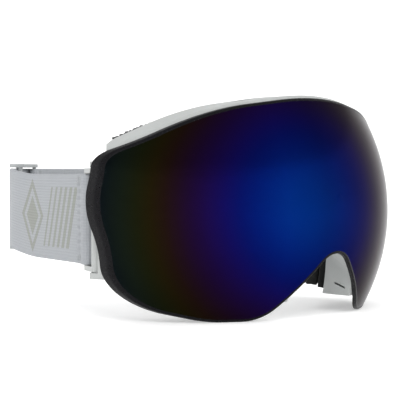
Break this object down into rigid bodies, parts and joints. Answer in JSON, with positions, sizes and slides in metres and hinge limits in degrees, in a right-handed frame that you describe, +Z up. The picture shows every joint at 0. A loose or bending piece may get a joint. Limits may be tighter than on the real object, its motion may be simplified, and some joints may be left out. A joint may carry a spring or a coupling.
{
  "type": "ski goggles",
  "caption": "Ski goggles with a large spherical mirrored double lens held to a moulded frame by magnets, layered face foam and an adjustable elastic strap.",
  "frame": {"origin": "common centre of curvature of the spherical lenses, inside the wearer's head", "axes": "-Y the way the wearer looks, +Z up, +X towards the wearer's left"},
  "size_m": [0.1764, 0.2057, 0.0985],
  "materials": {
    "lens_mirror": "mirrored polycarbonate, blue in the middle, violet and bronze towards the side",
    "black_trim": "gloss black edge trim and carrier",
    "inner_lens": "clear anti-fog acetate",
    "gasket_foam": "closed-cell foam",
    "frame_moulding": "matt flexible polyurethane",
    "magnet": "nickel-plated magnet",
    "vent_foam": "open-cell filter foam",
    "face_foam": "black face foam",
    "fleece": "black micro-fleece",
    "pin_steel": "plain steel pin",
    "hook_plastic": "matt nylon",
    "strap_webbing": "light grey elastic webbing with a darker printed motif",
    "grip_silicone": "clear silicone",
    "slider_plastic": "matt light grey nylon"
  },
  "bodies": {
    "frame": {"frame": "frame_moulding", "frame_magnets": "magnet", "brow_vent_foam": "vent_foam", "cheek_vent_foam": "vent_foam", "foam_base_layer": "face_foam", "foam_face_layer": "face_foam", "fleece_lining": "fleece", "hinge_pin_right": "pin_steel", "hinge_pin_left": "pin_steel", "strap_right": "strap_webbing", "strap_left": "strap_webbing", "grip_lines_right": "grip_silicone", "grip_lines_left": "grip_silicone"},
    "lens_unit": {"outer_lens": "lens_mirror", "lens_edge_trim": "black_trim", "spacer_gasket": "gasket_foam", "inner_lens": "inner_lens", "lens_carrier": "black_trim", "carrier_magnets": "magnet"},
    "hook_right": {"strap_hook_right": "hook_plastic", "strap_loop_right": "strap_webbing"},
    "hook_left": {"strap_hook_left": "hook_plastic", "strap_loop_left": "strap_webbing"},
    "slider_right": {"strap_slider_right": "slider_plastic", "strap_end_left": "strap_webbing"},
    "slider_left": {"strap_slider_left": "slider_plastic", "strap_end_right": "strap_webbing"}
  },
  "joints": [
    {"name": "lens_release", "type": "slide", "parent": "frame", "child": "lens_unit", "axis": [0, -1, 0], "range_m": [0, 0.03]},
    {"name": "hook_pivot_right", "type": "hinge", "parent": "frame", "child": "hook_right", "pos_m": [-0.08045, -0.02498, -0.0025], "axis": [0, 0, 1], "range_deg": [-12, 12]},
    {"name": "hook_pivot_left", "type": "hinge", "parent": "frame", "child": "hook_left", "pos_m": [0.08045, -0.02498, -0.0025], "axis": [0, 0, 1], "range_deg": [-12, 12]},
    {"name": "slider_travel_right", "type": "hinge", "parent": "frame", "child": "slider_right", "pos_m": [0, 0.0515, 0.0005], "axis": [0, 0, 1], "range_deg": [-7, 8]},
    {"name": "slider_travel_left", "type": "hinge", "parent": "frame", "child": "slider_left", "pos_m": [0, 0.0515, 0.0005], "axis": [0, 0, 1], "range_deg": [-8, 7]}
  ]
}
